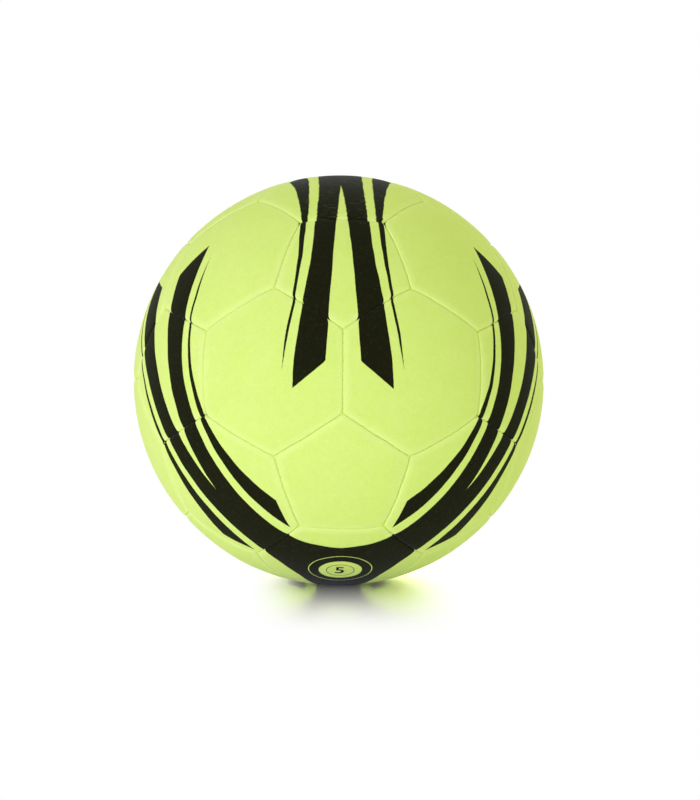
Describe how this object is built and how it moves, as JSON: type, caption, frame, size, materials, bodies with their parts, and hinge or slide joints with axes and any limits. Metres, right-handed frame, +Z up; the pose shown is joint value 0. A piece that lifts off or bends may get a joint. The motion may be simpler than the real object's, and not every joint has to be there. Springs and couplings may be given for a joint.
{
  "type": "futsal ball",
  "caption": "Round felt-covered indoor football sewn from pentagon and hexagon panels over an air bladder, with a needle valve at the back and sweeping dark stripes.",
  "frame": {"origin": "centre of the ball", "axes": "+Z up from the flat that the ball rests on; -Y towards the front, where an upright seam joins two hexagons; +X to the right seen from the front"},
  "size_m": [0.219, 0.2196, 0.2189],
  "materials": {
    "felt": "brushed felt on a cloth backing, fluorescent yellow-green with black print",
    "thread": "waxed twisted thread",
    "bladder_rubber": "smooth black rubber",
    "patch_rubber": "matt dark grey rubber",
    "valve_rubber": "moulded black rubber"
  },
  "bodies": {
    "ball": {"pentagon_panel_01": "felt", "pentagon_panel_02": "felt", "pentagon_panel_03": "felt", "pentagon_panel_04": "felt", "pentagon_panel_05": "felt", "pentagon_panel_06": "felt", "pentagon_panel_07": "felt", "pentagon_panel_08": "felt", "pentagon_panel_09": "felt", "pentagon_panel_10": "felt", "pentagon_panel_11": "felt", "pentagon_panel_12": "felt", "hexagon_panel_01": "felt", "hexagon_panel_02": "felt", "hexagon_panel_03": "felt", "hexagon_panel_04": "felt", "hexagon_panel_05": "felt", "hexagon_panel_06": "felt", "hexagon_panel_07": "felt", "hexagon_panel_08": "felt", "hexagon_panel_09": "felt", "hexagon_panel_10": "felt", "hexagon_panel_11": "felt", "hexagon_panel_12": "felt", "hexagon_panel_13": "felt", "hexagon_panel_14": "felt", "hexagon_panel_15": "felt", "hexagon_panel_16": "felt", "hexagon_panel_17": "felt", "hexagon_panel_18": "felt", "hexagon_panel_19": "felt", "valve_panel": "felt", "seam_thread": "thread", "bladder": "bladder_rubber", "valve_patch": "patch_rubber", "valve_housing": "valve_rubber"},
    "valve_core": {"valve_core": "valve_rubber"}
  },
  "joints": [
    {"name": "valve_core_slide", "type": "slide", "parent": "ball", "child": "valve_core", "axis": [-0.3568, 0.9115, -0.2046], "range_m": [0, 0.015]}
  ]
}
